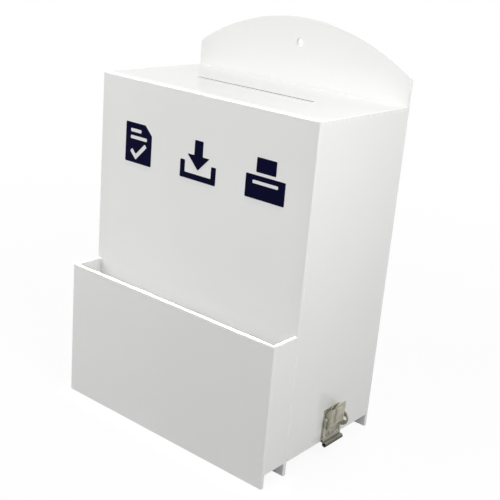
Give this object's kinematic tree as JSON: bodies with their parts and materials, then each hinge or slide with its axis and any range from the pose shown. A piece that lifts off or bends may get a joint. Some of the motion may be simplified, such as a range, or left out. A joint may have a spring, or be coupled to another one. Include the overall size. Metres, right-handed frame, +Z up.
{
  "type": "ballot box",
  "caption": "White acrylic ballot box with a top slot, a front form pocket, an arched back panel to hang it by and a hinged floor closed by a draw latch.",
  "frame": {"origin": "middle of the bottom edge of the back panel's rear face", "axes": "+X to the right seen from the front, +Y towards the wall, +Z up"},
  "size_m": [0.2125, 0.134, 0.306],
  "materials": {
    "acrylic": "cast opal acrylic, polished",
    "hinge_steel": "nickel-plated sheet steel",
    "pin_steel": "drawn steel pin",
    "latch_steel": "nickel-plated pressed steel, dulled",
    "rivet_metal": "plain aluminium rivet"
  },
  "bodies": {
    "box": {"back_panel": "acrylic", "front_panel": "acrylic", "top_panel": "acrylic", "left_side_panel": "acrylic", "right_side_panel": "acrylic", "pocket_front_panel": "acrylic", "left_pocket_side": "acrylic", "right_pocket_side": "acrylic", "pocket_floor": "acrylic", "front_hinge_wall_leaf": "hinge_steel", "rear_hinge_wall_leaf": "hinge_steel", "front_hinge_pin": "pin_steel", "rear_hinge_pin": "pin_steel", "hinge_wall_rivets": "rivet_metal", "latch_base": "latch_steel", "latch_base_rivets": "rivet_metal", "latch_pivot_pin": "pin_steel"},
    "door": {"bottom_door": "acrylic", "front_hinge_door_leaf": "hinge_steel", "rear_hinge_door_leaf": "hinge_steel", "hinge_door_rivets": "rivet_metal", "latch_strike": "latch_steel", "latch_strike_rivets": "rivet_metal"},
    "latch_lever": {"latch_lever": "latch_steel", "latch_bail_pin": "pin_steel"},
    "latch_bail": {"latch_bail": "latch_steel"}
  },
  "joints": [
    {"name": "door_hinge", "type": "hinge", "parent": "box", "child": "door", "pos_m": [-0.1016, -0.0545, 0.0089], "axis": [0, 1, 0], "range_deg": [0, 180]},
    {"name": "latch_lever_pivot", "type": "hinge", "parent": "box", "child": "latch_lever", "pos_m": [0.1032, -0.0545, 0.023], "axis": [0, 1, 0], "range_deg": [0, 150]},
    {"name": "latch_bail_pivot", "type": "hinge", "parent": "latch_lever", "child": "latch_bail", "pos_m": [0.1026, -0.0545, 0.0295], "axis": [0, 1, 0], "range_deg": [-195, 0]}
  ],
  "couplings": [
    {"joint": "latch_bail_pivot", "follows": "latch_lever_pivot", "ratio": -1.3}
  ]
}
